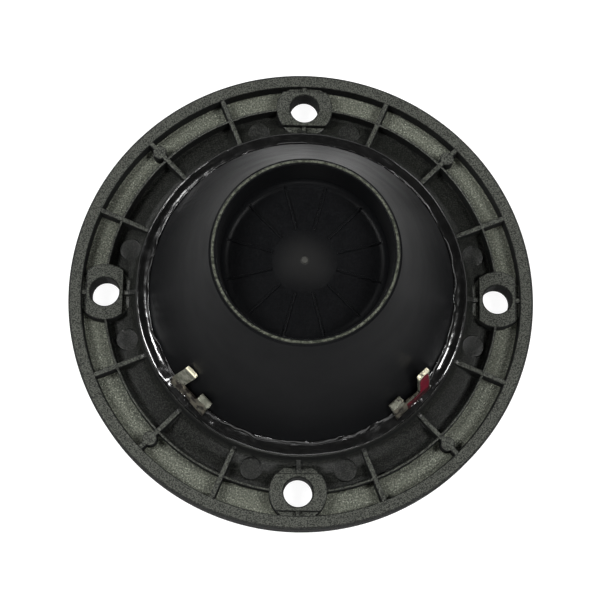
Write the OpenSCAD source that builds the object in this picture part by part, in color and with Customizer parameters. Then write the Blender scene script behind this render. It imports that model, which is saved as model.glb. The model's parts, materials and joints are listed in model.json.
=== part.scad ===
// Round piezo horn tweeter for a car: a moulded horn flange with a ribbed back, a deep
// truncated-cone rear cup glued into its collar, and a paper cone driven by a piezo disc.
// The part stands on its front face at z = 0 and +Z points to the rear. All sizes are in mm.

/* [Flange] */
// Outer radius of the flange
flange_r = 48; // [47.5:0.1:50]
// Height of the flange from the front lip to the rear rim plane
flange_t = 8; // [7.5:0.1:8.5]
// Inner radius of the flat rear rim band
rim_r = 45.3; // [45:0.1:45.8]
// Depth of the rear floor below the rim plane
floor_drop = 3.3; // [3:0.1:3.6]
// Thickness of the floor between the front face and the ribbed back
floor_t = 2.5; // [2.2:0.1:2.8]
// Radial width of the front lip
lip_w = 2.4; // [2:0.1:2.6]

/* [Ribs] */
// Number of rib positions round the flange; each screw boss takes the place of one
rib_slots = 16; // [16:4:16]
// Thickness of a radial rib
rib_t = 1.1; // [0.8:0.1:1.4]
// Radius of the thin ring rib, which is also the screw circle
ring_r = 40.5; // [40.3:0.1:40.7]
// Thickness of the thin ring rib
ring_t = 0.6; // [0.5:0.1:0.8]
// Radius of the small post on each diagonal rib
post_r = 1.45; // [1.2:0.05:1.7]
// Distance of the small post from the axis
post_at = 42.7; // [42.5:0.1:43]

/* [Screw bosses] */
// Radius of a screw hole
hole_r = 2.95; // [2:0.05:3.2]
// Radius of a boss
boss_r = 5.9; // [5.5:0.1:6.2]
// Radial width of the flat-sided boss top
boss_flat_w = 7.6; // [7:0.1:8]
// Height of the round boss shoulder below the rim plane
boss_step = 1.4; // [1:0.1:2]
// Radius of the flat seat for a screw head on the front
screw_seat_r = 4.7; // [4.5:0.1:4.8]

/* [Ejector pads] */
// Radius of an ejector pad
pad_r = 2.2; // [1.8:0.1:2.4]
// Distance of the ejector pads from the axis
pad_at = 37; // [36.8:0.1:37.2]
// Angle between an ejector pad and the nearest boss
pad_turn = 15; // [14.5:0.5:15.5]

/* [Horn] */
// Radius of the horn mouth
mouth_r = 40; // [39.5:0.1:40]
// Radius of the horn throat
throat_r = 16; // [15.8:0.1:16.2]
// Height at which the horn reaches its throat radius
throat_z = 19; // [18.8:0.1:19.2]
// Wall thickness of the horn flare
flare_t = 2; // [1.8:0.1:2.1]

/* [Collar] */
// Outer radius of the collar that holds the rear cup
collar_r = 33.9; // [33.7:0.1:34.1]
// Thickness of the collar wall
collar_t = 1.2; // [1:0.1:1.3]
// Height of the collar above the rim plane
collar_h = 3.9; // [3.7:0.1:4.2]
// Radius of the fillet at the foot of the collar
collar_fillet = 3; // [2.5:0.1:3.2]

/* [Rear cup] */
// Outer radius of the straight skirt at the foot of the cup
skirt_r = 31.6; // [31.4:0.1:31.6]
// Outer radius where the taper starts
cup_base_r = 31.4; // [31.2:0.1:31.4]
// Outer radius where the taper ends
cup_top_r = 17.9; // [17.8:0.1:18.1]
// Overall height of the tweeter to the cup's end ring
total_h = 45.7; // [45:0.1:46.5]
// Wall thickness of the cup
cup_t = 1.8; // [1.6:0.1:2]
// Outer radius of the flat end ring
end_ring_r = 17.5; // [17.4:0.1:17.6]
// Radial width of the flat end ring
end_ring_w = 0.9; // [0.8:0.1:1]
// Depth of the recess in the end of the cup
recess_h = 8.2; // [7.8:0.1:8.6]
// Number of faint radial ribs on the recess floor
recess_ribs = 12; // [8:1:16]

/* [Terminals] */
// Angle of each terminal from the lower side of the flange
terminal_turn = 45; // [44:0.5:46]
// Width of a terminal tab
tab_w = 2.8; // [2.7:0.1:3]
// Thickness of the terminal strip
strip_t = 0.6; // [0.5:0.05:0.7]
// Overall width of a terminal round the cup
strip_w = 9.4; // [9:0.1:10]
// Lean of the tab towards the cup, in degrees
tab_lean = 20; // [18:1:21]
// Length of the leaning tab
tab_len = 8.8; // [7:0.1:9]

/* [Driver] */
// Radius of the moving paper cone
cone_r = 16.5; // [16.3:0.1:16.6]
// Radius of the flat apex of the cone
apex_r = 3; // [2.8:0.1:3.4]
// Depth of the cone from its edge to its apex
cone_h = 7.4; // [7.2:0.1:7.6]
// Thickness of the paper
paper_t = 0.35; // [0.3:0.05:0.4]
// Radius of the brass shim of the piezo disc
shim_r = 13; // [12.8:0.1:13.2]
// Radius of the ceramic wafers on the shim
wafer_r = 11.3; // [11:0.1:11.5]
// Largest radius of the phase plug
plug_r = 10.4; // [10:0.1:10.5]
// Number of vanes that carry the phase plug
plug_vanes = 4; // [4:1:4]
// Diameter of an internal lead
lead_d = 0.9; // [0.7:0.1:1]

/* [Hidden] */
$fn = 96;

clear = 0.05;                 // gap between glued pieces of one body
bite = 0.3;                   // depth by which fused features reach into each other
floor_z = flange_t - floor_drop;
mouth_z = floor_z - floor_t;
flare_k = (throat_z - mouth_z) / ln(mouth_r / throat_r);
flare_steps = 20;
arc_steps = 8;
edge_round = 0.6;
collar_top = flange_t + collar_h;
collar_in = collar_r - collar_t;
ledge_z = collar_top - 1.7;   // shoulder that the cup's skirt stands on
boss_turns = [0, 90, 180, 270];

seat_z = 20;                  // rear face of the driver seat on the horn
seat_r = 22.5;
seat_t = 4.6;
plug_seat_z = 17.6;
plug_seat_r = 18.6;
plug_mouth_r = mouth_r * exp((mouth_z - plug_seat_z) / flare_k);
plug_nose = 11.4;             // length of the plug's rounded nose
hill_r = 18;                  // smallest front radius at which the flare's back is drawn
shoulder_in = 29.3;           // inner radius of the cup's shoulder

gasket_h = 1;
gasket_in = 16.8;
gasket_out = 22.2;
rim_z = seat_z + gasket_h;
cone_z = rim_z + 0.3;
cone_slope = cone_h / (cone_r - apex_r);
apex_z = cone_z + cone_h;
edge_in = cone_r + 0.35;
edge_roll_r = 0.7;
edge_flat_in = edge_in + 2 * edge_roll_r;
rim_ring_h = 1.2;
rim_ring_in = edge_flat_in + paper_t + 0.1;

coupler_h = 1;
coupler_r = 2.6;
wafer_t = 0.25;
shim_t = 0.2;
coupler_z = apex_z + paper_t;
wafer_front_z = coupler_z + coupler_h;
shim_z = wafer_front_z + wafer_t;
wafer_rear_z = shim_z + shim_t;
disc_top = wafer_rear_z + wafer_t;
dot_r = 0.9;
dot_h = 0.5;
wafer_dot_at = 8;
shim_dot_at = (wafer_r + shim_r) / 2;

cup_taper_z = ledge_z + 1.8;
cup_taper_end = total_h - 0.7;
cup_slope = (cup_base_r - cup_top_r) / (cup_taper_end - cup_taper_z);
recess_floor = total_h - recess_h;
recess_wall_r = 15.8;
recess_round = 1.6;
dome_r = 5.5;
dome_h = 0.6;
nub_r = 0.6;
nub_h = 0.4;
floor_under = recess_floor - 1.7;
pad_z = 31.9;                 // front face of the foam pad
pad_disc_r = 6.5;
lead_gap = lead_d / 2 + 0.3;  // height of a lead's axis over its solder dot

terminal_x = 31.8;            // inner face of the terminal strip
foot_w = 6;                   // width of the strip where it stands in the adhesive
strip_foot = ledge_z + 0.2;
strip_bend = cup_taper_z + 1.2;
tail_z = 11.7;
tail_in = 27.9;
tail_w = 2.4;
tail_t = 0.5;
lug_len = 5;
lug_reach = 2.3;
web_len = 2.4;
bead_in = skirt_r + clear;
bead_out = collar_in - clear;
bead_lip_r = collar_r - 0.2;
bead_low = ledge_z + clear;
bead_lip_z = collar_top + clear;
bead_climb = cup_taper_z + 1.6;  // height that the bead reaches on the cup
positive_turn = -90 + terminal_turn;
negative_turn = -90 - terminal_turn;

// ---------- shared shapes ----------

// Height of the horn's front surface at radius r
function flare_z(r) = mouth_z + flare_k * ln(mouth_r / r);

// Unit normal of the horn surface at radius r, pointing to the rear
function flare_normal(r) = [flare_k / r, 1] / sqrt(1 + pow(flare_k / r, 2));

// Point on the back of the flare wall, behind the front surface point at radius r
function flare_back(r) = [r, flare_z(r)] + flare_t * flare_normal(r);

// Points on an arc about centre c
function arc(c, r, from, to, steps = arc_steps) =
    [for (i = [0:steps]) let (a = from + (to - from) * i / steps) c + r * [cos(a), sin(a)]];

// Outer radius of the rear cup's taper at height z
function cup_r(z) = cup_base_r - cup_slope * (z - cup_taper_z);

// Inner radius of the rear cup's taper at height z
function cup_in(z) = cup_r(z) - cup_t;

// Height of the cone's front surface at radius r
function cone_front(r) = cone_z + cone_slope * (cone_r - r);

// A copy at each angle in turns, at distance r from the axis
module around(turns, r = 0) {
    for (a = turns)
        rotate([0, 0, a])
            translate([r, 0, 0])
                children();
}

// A flat ring from r0 to r1 and from z0 to z1
module ring(r0, r1, z0, z1) {
    rotate_extrude()
        translate([r0, z0])
            square([r1 - r0, z1 - z0]);
}

// A block centred across y, from x0 to x1 and from z0 to z1
module bar(x0, x1, w, z0, z1) {
    translate([x0, -w / 2, z0])
        cube([x1 - x0, w, z1 - z0]);
}

// ---------- horn frame ----------

// Outer rim with rounded edges
module rim() {
    rotate_extrude()
        polygon(concat(
            [[rim_r, 0]],
            arc([flange_r - edge_round, edge_round], edge_round, -90, 0),
            arc([flange_r - edge_round, flange_t - edge_round], edge_round, 0, 90),
            [[rim_r, flange_t]]
        ));
}

// Back of the flare, solid down to the front face
module flare_hill() {
    rotate_extrude()
        polygon(concat(
            [[0, 0], [mouth_r, 0], [mouth_r, mouth_z]],
            [for (i = [0:flare_steps]) flare_back(mouth_r - (mouth_r - hill_r) * i / flare_steps)],
            [[0, flare_back(hill_r)[1]]]
        ));
}

// Concave fillet between the collar and the back of the flare
module collar_foot() {
    b = flare_back(collar_r + 1);
    n = flare_normal(collar_r + 1);
    cx = collar_r + collar_fillet;
    cz = b[1] + (collar_fillet - n[0] * (cx - b[0])) / n[1];
    tangent = 180 + atan2(n[1], n[0]);
    rotate_extrude()
        polygon(concat(
            arc([cx, cz], collar_fillet, 180, tangent),
            [[cx - collar_fillet * n[0], floor_z - bite], [collar_r - bite, floor_z - bite]],
            [[collar_r - bite, cz]]
        ));
}

// Collar, with the shoulder inside it that carries the rear cup
module collar() {
    difference() {
        ring(shoulder_in - bite, collar_r, 0, collar_top);
        ring(shoulder_in - 1, collar_in, ledge_z, collar_top + 1);
    }
}

// Flat ring round the throat that the driver is glued to
module driver_seat() {
    ring(throat_r, seat_r, seat_z - seat_t, seat_z);
}

// Space in front of the horn surface, with the seat for the phase plug
module horn_air() {
    rotate_extrude()
        polygon(concat(
            [[0, -1], [flange_r - lip_w + 0.6, -1], [flange_r - lip_w, 0], [rim_r, mouth_z]],
            [for (i = [0:flare_steps])
                let (r = mouth_r - (mouth_r - plug_mouth_r) * i / flare_steps) [r, flare_z(r)]],
            [[plug_seat_r, plug_seat_z], [plug_seat_r, seat_z + 1], [0, seat_z + 1]]
        ));
}

// Radial ribs between the collar and the rim
module radial_ribs() {
    step = 360 / rib_slots;
    turns = [for (i = [0:rib_slots - 1]) if (i % (rib_slots / 4) != 0) i * step];
    around(turns)
        bar(collar_r - bite, rim_r + bite, rib_t, mouth_z, flange_t);
}

// Small posts on the diagonal ribs
module rib_posts() {
    around([45, 135, 225, 315], post_at)
        cylinder(r = post_r, h = flange_t);
}

// Screw boss: round shoulder, flat-sided top and two rib stubs
module boss() {
    translate([ring_r, 0, 0]) {
        cylinder(r = boss_r, h = flange_t - boss_step);
        intersection() {
            cylinder(r = boss_r, h = flange_t);
            bar(-boss_flat_w / 2, boss_flat_w / 2, 3 * boss_r, 0, flange_t);
        }
    }
    bar(collar_r - bite, rim_r + bite, rib_t, mouth_z, flange_t - ring_t);
}

// Angles of the ejector pads, one each side of every boss
pad_turns = [for (a = boss_turns) for (s = [-1, 1]) a + s * pad_turn];

module horn_frame() color([0.16, 0.16, 0.15]) {
    pad_top = flare_z(pad_at) + flare_t;
    difference() {
        union() {
            cylinder(r = flange_r - 1, h = floor_z);
            rim();
            flare_hill();
            driver_seat();
            collar();
            collar_foot();
            ring(ring_r - ring_t / 2, ring_r + ring_t / 2, mouth_z, flange_t);
            radial_ribs();
            rib_posts();
            around(boss_turns)
                boss();
            around(pad_turns, pad_at)
                cylinder(r = pad_r, h = pad_top);
        }
        around(pad_turns, pad_at)
            translate([0, 0, pad_top])
                cylinder(r = pad_r, h = flange_t);
        difference() {
            horn_air();
            around(boss_turns, ring_r)
                translate([0, 0, mouth_z])
                    cylinder(r = screw_seat_r, h = flange_t);
        }
        around(boss_turns, ring_r)
            translate([0, 0, -1])
                cylinder(r = hole_r, h = flange_t + 2);
    }
}

// ---------- phase plug ----------

module phase_plug() color([0.12, 0.12, 0.12]) {
    vane_w = 1.2;
    back_gap = 1.6;
    back_r = plug_r - 0.6;
    tip_r = 2.5;
    rotate_extrude()
        polygon(concat(
            [for (i = [0:2 * arc_steps])
                let (a = 90 * i / (2 * arc_steps)) [plug_r * sin(a), seat_z - plug_nose * cos(a)]],
            [[plug_r, seat_z + 1], [back_r, cone_front(back_r) - back_gap]],
            [[tip_r, cone_front(tip_r) - back_gap], [0, cone_front(tip_r) - back_gap]]
        ));
    rotate_extrude()
        polygon([
            [plug_mouth_r, plug_seat_z], [throat_r, throat_z], [throat_r, seat_z],
            [plug_seat_r - clear, seat_z], [plug_seat_r - clear, plug_seat_z]
        ]);
    around([for (i = [0:plug_vanes - 1]) 45 + 360 / plug_vanes * i])
        bar(plug_r - 2, plug_mouth_r + bite, vane_w, plug_seat_z, seat_z);
}

// ---------- driver, fixed pieces ----------

module throat_gasket() color([0.3, 0.3, 0.28]) {
    ring(gasket_in, gasket_out, seat_z, rim_z);
}

// Soft edge of the cone: a flat rim and one half roll
module cone_edge() color([0.2, 0.19, 0.18]) {
    roll_c = [edge_in + edge_roll_r, rim_z];
    rotate_extrude()
        polygon(concat(
            arc(roll_c, edge_roll_r + paper_t, 180, 0),
            [[gasket_out, rim_z + paper_t], [gasket_out, rim_z]],
            arc(roll_c, edge_roll_r, 0, 180)
        ));
}

module cone_rim_ring() color([0.62, 0.55, 0.42]) {
    ring(rim_ring_in, gasket_out, rim_z + paper_t, rim_z + paper_t + rim_ring_h);
}

// ---------- driver, moving pieces ----------

// Paper cone with a flat closed apex
module cone_diaphragm() color([0.14, 0.13, 0.12]) {
    rotate_extrude()
        polygon([
            [cone_r, cone_z], [apex_r, apex_z], [0, apex_z],
            [0, apex_z + paper_t], [apex_r + 0.1, apex_z + paper_t], [cone_r, cone_z + paper_t]
        ]);
}

module apex_coupler() color([0.75, 0.7, 0.5]) {
    translate([0, 0, coupler_z])
        cylinder(r1 = coupler_r, r2 = coupler_r + 0.6, h = coupler_h);
}

module piezo_wafer_front() color([0.72, 0.7, 0.64]) {
    translate([0, 0, wafer_front_z])
        cylinder(r = wafer_r, h = wafer_t);
}

module piezo_shim() color([0.78, 0.62, 0.32]) {
    translate([0, 0, shim_z])
        cylinder(r = shim_r, h = shim_t);
}

module piezo_wafer_rear() color([0.72, 0.7, 0.64]) {
    translate([0, 0, wafer_rear_z])
        cylinder(r = wafer_r, h = wafer_t);
}

// One joint on the rear wafer and one on the bare edge of the shim
module piezo_solder_dots() color([0.75, 0.75, 0.76]) {
    around([negative_turn], wafer_dot_at)
        translate([0, 0, disc_top])
            cylinder(r1 = dot_r, r2 = dot_r / 2, h = dot_h);
    around([positive_turn], shim_dot_at)
        translate([0, 0, wafer_rear_z])
            cylinder(r1 = shim_r - shim_dot_at - clear, r2 = 0.4, h = dot_h);
}

// ---------- damping and leads ----------

// Foam disc under the end of the cup, just behind the piezo disc
module damping_pad() color([0.22, 0.22, 0.24]) {
    translate([0, 0, pad_z])
        cylinder(r = pad_disc_r, h = floor_under - pad_z);
}

// Fibre ring in the widest part of the cup
module damping_ring() color([0.55, 0.55, 0.52]) {
    z0 = 16.5;
    z1 = 21.5;
    rotate_extrude()
        polygon([
            [seat_r + 0.3, z0], [cup_in(z0) - lead_d - 0.8, z0],
            [cup_in(z1) - lead_d - 0.8, z1], [seat_r + 0.3, z1]
        ]);
}

// Sweep of a round lead along points in the x-z plane
module lead(path, d) {
    sides = 8;
    n = len(path);
    function dir(i) =
        let (v = path[min(i + 1, n - 1)] - path[max(i - 1, 0)]) v / norm(v);
    points = [
        for (i = [0:n - 1])
            for (k = [0:sides - 1])
                let (a = 360 * k / sides, t = dir(i), s = d / 2 * cos(a))
                [path[i][0] + s * t[1], d / 2 * sin(a), path[i][1] - s * t[0]]
    ];
    walls = [
        for (i = [0:n - 2])
            for (k = [0:sides - 1])
                let (m = (k + 1) % sides)
                [i * sides + k, i * sides + m, (i + 1) * sides + m, (i + 1) * sides + k]
    ];
    ends = [
        [for (k = [sides - 1:-1:0]) k],
        [for (k = [0:sides - 1]) (n - 1) * sides + k]
    ];
    polyhedron(points, concat(ends, walls));
}

// Route of a lead up the inside of the cup and in to radius r at height z
function lead_route(r, z) =
    let (
        wall = [for (h = [14:2:26]) [cup_in(h) - lead_d / 2 - 0.4, h]],
        turn = [[cup_in(29) - 1.6, 28.6], [cup_in(30) - 4, 30.6]],
        run = [for (s = [1:-0.25:0]) [r + s * (cup_in(30) - 7 - r), z + 0.5 * s]]
    )
    concat([[tail_in + 0.4, tail_z + tail_t + lead_d]], wall, turn, run);

module lead_positive() color([0.7, 0.1, 0.08]) {
    around([positive_turn])
        lead(lead_route(shim_dot_at - 0.3, wafer_rear_z + dot_h + lead_gap), lead_d);
}

module lead_negative() color([0.08, 0.08, 0.09]) {
    around([negative_turn])
        lead(lead_route(wafer_dot_at - 0.3, disc_top + dot_h + lead_gap), lead_d);
}

// Soldered joints between the terminal tails and the leads
module lead_joints() color([0.75, 0.75, 0.76]) {
    around([positive_turn, negative_turn], tail_in + 0.6)
        translate([0, 0, tail_z + tail_t])
            cylinder(r1 = 0.8, r2 = 0.5, h = 0.6);
}

// ---------- rear cup ----------

module rear_cup() color([0.09, 0.09, 0.1]) {
    recess_in = end_ring_r - end_ring_w;
    round_c = [recess_wall_r - recess_round, recess_floor + recess_round];
    wedge_z = total_h - 5.2;
    wedge_r = recess_wall_r + cup_t;
    difference() {
        union() {
            rotate_extrude()
                polygon(concat(
                    [[skirt_r, ledge_z], [skirt_r, cup_taper_z - 0.1], [cup_base_r, cup_taper_z + 0.1]],
                    [[cup_top_r, cup_taper_end], [end_ring_r, cup_taper_end + 0.15]],
                    [[end_ring_r, total_h], [recess_in, total_h]],
                    arc(round_c, recess_round, 0, -90),
                    [[dome_r, recess_floor], [dome_r / 2, recess_floor + 0.7 * dome_h]],
                    [[0, recess_floor + dome_h], [0, floor_under], [recess_wall_r - 0.8, floor_under]],
                    [[wedge_r, floor_under + 1.6], [wedge_r + 0.1, wedge_z]],
                    [[cup_in(floor_under), floor_under], [cup_in(cup_taper_z), cup_taper_z]],
                    [[cup_in(cup_taper_z), ledge_z]]
                ));
            translate([0, 0, recess_floor])
                cylinder(r = nub_r, h = dome_h + nub_h);
            recess_rib_set();
        }
        around([positive_turn, negative_turn])
            bar(tail_in, skirt_r + 1, tail_w + 0.6, ledge_z - 1, tail_z + tail_t + 0.1);
    }
}

// Faint ribs on the recess floor, between the dome and the wall
module recess_rib_set() {
    rib_w = 0.5;
    rib_h = 0.3;
    around([for (i = [0:recess_ribs - 1]) 360 / recess_ribs * (i + 0.5)])
        bar(dome_r + 1, recess_wall_r - 0.6, rib_w, recess_floor - bite, recess_floor + rib_h);
}

// ---------- terminals ----------

// Terminal strip in its own frame: x is outward and the tab is on the +y side
module terminal_strip(grow = 0) {
    half = strip_w / 2;
    t = strip_t + 2 * grow;
    translate([terminal_x - grow, 0, 0])
        bar(0, t, foot_w + 2 * grow, strip_foot - grow, strip_bend);
    translate([terminal_x - grow, 0, 0])
        bar(0, t, strip_w + 2 * grow, collar_top + 0.2, strip_bend);
    translate([terminal_x, 0, strip_bend - 0.05])
        rotate([0, -tab_lean, 0]) {
            translate([-grow, half - tab_w - grow, 0])
                cube([t, tab_w + 2 * grow, tab_len]);
            bar(-grow, strip_t + grow, strip_w + 2 * grow, 0, web_len);
            translate([-grow, -half - grow, 0])
                cube([t, tab_w + 2 * grow, lug_len]);
        }
}

// Whole terminal: strip, bent lug and the tail through the cup's notch
module terminal(side) {
    half = strip_w / 2;
    lug_x = terminal_x - sin(tab_lean) * lug_len;
    lug_z = strip_bend + cos(tab_lean) * lug_len;
    mirror([0, side < 0 ? 1 : 0, 0]) {
        terminal_strip();
        translate([lug_x, -half, lug_z - strip_t])
            cube([lug_reach, tab_w, strip_t]);
        bar(tail_in, terminal_x + strip_t / 2, tail_w, tail_z, tail_z + tail_t);
    }
}

module terminal_positive() color([0.82, 0.8, 0.72]) {
    around([positive_turn])
        terminal(1);
}

module terminal_negative() color([0.82, 0.8, 0.72]) {
    around([negative_turn])
        terminal(-1);
}

// Red paint across the web of the positive terminal
module polarity_mark() color([0.6, 0.1, 0.14]) {
    paint_w = strip_w - 2 * tab_w - 0.4;
    paint_t = 0.15;
    around([positive_turn])
        translate([terminal_x, 0, strip_bend])
            rotate([0, -tab_lean, 0])
                translate([strip_t, -paint_w / 2, 0.3])
                    cube([paint_t, paint_w, web_len - 0.5]);
}

// ---------- adhesive bead ----------

// Section of the bead: it fills the groove, rolls over the collar and climbs the cup
module bead_section() {
    polygon([
        [bead_in, bead_low], [bead_out, bead_low], [bead_out, bead_lip_z], [bead_lip_r, bead_lip_z],
        [bead_lip_r - 0.3, bead_lip_z + 0.4], [cup_r(bead_climb) + 0.6, bead_climb - 0.8],
        [cup_r(bead_climb) + clear, bead_climb], [bead_in, cup_taper_z]
    ]);
}

// Section of the lump round a terminal, set a little inside the bead's own faces
module lump_section() {
    inset = 0.1;
    lump_z = strip_bend + 0.15;
    polygon([
        [bead_in + inset, bead_low + 3 * inset], [bead_out - inset, bead_low + 3 * inset],
        [bead_out - inset, bead_lip_z + inset], [bead_lip_r - inset, bead_lip_z + inset],
        [bead_lip_r - inset, bead_lip_z + 0.6], [terminal_x + 1.2, lump_z], [terminal_x - 0.4, lump_z],
        [cup_r(bead_climb) + 0.4, bead_climb - 0.4], [bead_in + inset, cup_taper_z]
    ]);
}

// Ring of set adhesive between the collar and the cup, raised round the terminals
module adhesive_bead() color([0.05, 0.05, 0.05]) {
    lump_turn = 22;
    difference() {
        union() {
            rotate_extrude()
                bead_section();
            around([positive_turn - lump_turn / 2, negative_turn - lump_turn / 2])
                rotate_extrude(angle = lump_turn)
                    lump_section();
        }
        for (side = [-1, 1])
            around([-90 + side * terminal_turn])
                mirror([0, side < 0 ? 1 : 0, 0]) {
                    terminal_strip(clear);
                    bar(tail_in, terminal_x + 0.1, foot_w + 2 * clear, ledge_z, cup_taper_z + 0.2);
                }
    }
}

horn_frame();
phase_plug();
throat_gasket();
cone_edge();
cone_rim_ring();
cone_diaphragm();
apex_coupler();
piezo_wafer_front();
piezo_shim();
piezo_wafer_rear();
piezo_solder_dots();
damping_pad();
damping_ring();
lead_positive();
lead_negative();
lead_joints();
rear_cup();
adhesive_bead();
terminal_positive();
terminal_negative();
polarity_mark();
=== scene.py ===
"""Looks of a round horn tweeter that lies on its front with its back towards the camera.

Shapes are written in millimetres in the CAD frame and turned into metres as each mesh is made.
"""
import json
from math import acos, cos, degrees, exp, hypot, log, pi, radians, sin, tan

import bmesh
import bpy
import numpy as np
from mathutils import Matrix, Vector, noise


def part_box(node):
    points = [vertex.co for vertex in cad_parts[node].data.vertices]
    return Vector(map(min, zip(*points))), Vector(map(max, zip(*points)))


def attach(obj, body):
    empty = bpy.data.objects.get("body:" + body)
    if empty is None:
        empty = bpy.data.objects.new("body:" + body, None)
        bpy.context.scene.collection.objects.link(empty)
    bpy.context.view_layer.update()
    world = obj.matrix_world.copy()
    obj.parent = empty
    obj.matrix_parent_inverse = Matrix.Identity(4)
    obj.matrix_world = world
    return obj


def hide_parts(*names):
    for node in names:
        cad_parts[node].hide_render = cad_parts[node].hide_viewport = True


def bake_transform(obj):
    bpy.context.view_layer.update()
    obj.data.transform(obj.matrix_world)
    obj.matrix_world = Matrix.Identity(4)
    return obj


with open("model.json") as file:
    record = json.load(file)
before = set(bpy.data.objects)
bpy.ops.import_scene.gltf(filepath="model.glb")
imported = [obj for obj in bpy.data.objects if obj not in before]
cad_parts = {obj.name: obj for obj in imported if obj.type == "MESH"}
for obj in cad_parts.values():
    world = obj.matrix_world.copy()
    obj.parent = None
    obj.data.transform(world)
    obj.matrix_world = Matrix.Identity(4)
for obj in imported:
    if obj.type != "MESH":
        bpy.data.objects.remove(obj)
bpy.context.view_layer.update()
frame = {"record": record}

# ---------- sizes, in millimetres

MM = 0.001


def box_mm(node):
    """Lowest and highest corner of a CAD node, in millimetres."""
    low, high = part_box(node)
    return low / MM, high / MM


MOUNTS = {m["name"]: m for m in frame["record"]["mounts"]}
RIM_Z = MOUNTS["rear_rim"]["pos_m"][2] / MM
RING_R = MOUNTS["screw_holes"]["dims"]["pcd_mm"] / 2
HOLE_R = MOUNTS["screw_holes"]["dims"]["hole_r_mm"]
FLANGE_R = box_mm("horn_frame")[1].y
SEAT_Z = box_mm("horn_frame")[1].z
LEDGE_Z = box_mm("rear_cup")[0].z
TOP_Z = box_mm("rear_cup")[1].z
SKIRT_R = box_mm("rear_cup")[1].x

RIM_R = FLANGE_R - 2.7
FLOOR_Z = RIM_Z - 3.3
MOUTH_Z = FLOOR_Z - 2.5
MOUTH_R = 40.0
THROAT_R = 16.0
THROAT_Z = 19.0
FLARE_K = (THROAT_Z - MOUTH_Z) / log(MOUTH_R / THROAT_R)
FLARE_WALL = 2.0
COLLAR_R = 33.9
COLLAR_IN = 32.7
COLLAR_Z = LEDGE_Z + 1.7
PLUG_SEAT_Z = 17.6
PLUG_SEAT_R = 18.6
DRIVER_SEAT_R = 22.5
CUP_TAPER_Z = LEDGE_Z + 1.8
CUP_BASE_R = 31.4
CUP_END_R = 17.9
CUP_SLOPE = (CUP_BASE_R - CUP_END_R) / (TOP_Z - 0.7 - CUP_TAPER_Z)
CUP_WALL = 1.8
END_RING_R = 17.5
RECESS_FLOOR = TOP_Z - 8.2
RECESS_R = 15.8
DOME_R = 5.5
NUB_R = 0.6
TAIL_TOP = 12.2
TAIL_IN = 27.9
JOINT_AT = TAIL_IN + 0.6
BOSS_TURNS = (0, 90, 180, 270)
TERMINAL_TURNS = {"negative": -135, "positive": -45}


def flare_z(r):
    """Height of the horn's front surface at radius r."""
    return MOUTH_Z + FLARE_K * log(MOUTH_R / r)


def flare_back(r):
    """Point on the back of the flare wall, behind the front surface at radius r."""
    length = hypot(FLARE_K / r, 1)
    return r + FLARE_WALL * FLARE_K / r / length, flare_z(r) + FLARE_WALL / length


def cup_r(z):
    """Outer radius of the rear cup's taper at height z."""
    return CUP_BASE_R - CUP_SLOPE * (z - CUP_TAPER_Z)


def cup_in(z):
    """Inner radius of the rear cup's taper at height z."""
    return cup_r(z) - CUP_WALL


# ---------- mesh helpers


def add_object(name, data):
    """A new object in the scene that holds the data."""
    obj = bpy.data.objects.new(name, data)
    bpy.context.scene.collection.objects.link(obj)
    return obj


def mesh_object(name, bm):
    """An object whose mesh is the bmesh, which is used up."""
    mesh = bpy.data.meshes.new(name)
    bm.to_mesh(mesh)
    bm.free()
    return add_object(name, mesh)


def make_object(name, verts, faces):
    """A mesh object from vertices in millimetres, with its normals pointing outwards."""
    mesh = bpy.data.meshes.new(name)
    mesh.from_pydata([tuple(c * MM for c in v) for v in verts], [], faces)
    bm = bmesh.new()
    bm.from_mesh(mesh)
    bmesh.ops.remove_doubles(bm, verts=bm.verts, dist=1e-7)
    bmesh.ops.recalc_face_normals(bm, faces=bm.faces)
    bm.to_mesh(mesh)
    bm.free()
    return add_object(name, mesh)


def rounded(points, closed=True):
    """A polyline through (x, y) or (x, y, radius) points, with an arc at each corner with a radius."""
    out = []
    count = len(points)
    for i, point in enumerate(points):
        here = Vector(point[:2])
        radius = point[2] if len(point) > 2 else 0
        at_end = not closed and i in (0, count - 1)
        if not radius or at_end:
            out.append(tuple(here))
            continue
        to_last = Vector(points[i - 1][:2]) - here
        to_next = Vector(points[(i + 1) % count][:2]) - here
        half = to_last.angle(to_next) / 2
        reach = min(radius / tan(half), 0.49 * to_last.length, 0.49 * to_next.length)
        start = here + to_last.normalized() * reach
        middle = (to_last.normalized() + to_next.normalized()).normalized()
        centre = here + middle * (reach * tan(half) / sin(half))
        sweep = pi - 2 * half
        side = -1 if to_last.cross(to_next) > 0 else 1
        steps = max(2, round(sweep / radians(22)))
        for k in range(steps + 1):
            turn = Matrix.Rotation(side * sweep * k / steps, 2)
            out.append(tuple(centre + turn @ (start - centre)))
    return out


def lathe(name, profile, segments=240, at=(0, 0), axis_ends=False):
    """A turned solid from a closed (r, z) loop, or with axis_ends from a profile from axis to axis."""
    rings = []
    verts = []
    for r, z in profile:
        if r < 1e-6:
            rings.append([len(verts)] * segments)
            verts.append((at[0], at[1], z))
            continue
        rings.append(list(range(len(verts), len(verts) + segments)))
        for k in range(segments):
            a = 2 * pi * k / segments
            verts.append((at[0] + r * cos(a), at[1] + r * sin(a), z))
    pairs = list(zip(rings, rings[1:]))
    if not axis_ends:
        pairs.append((rings[-1], rings[0]))
    faces = []
    for low, high in pairs:
        for k in range(segments):
            m = (k + 1) % segments
            corners = list(dict.fromkeys([low[k], low[m], high[m], high[k]]))
            if len(corners) > 2:
                faces.append(corners)
    return make_object(name, verts, faces)


def spun(name, outline, segments=56, at=(0, 0)):
    """A turned solid from an outline with corner radii, which starts and ends on the axis."""
    return lathe(name, rounded(outline, closed=False), segments, at, axis_ends=True)


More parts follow.
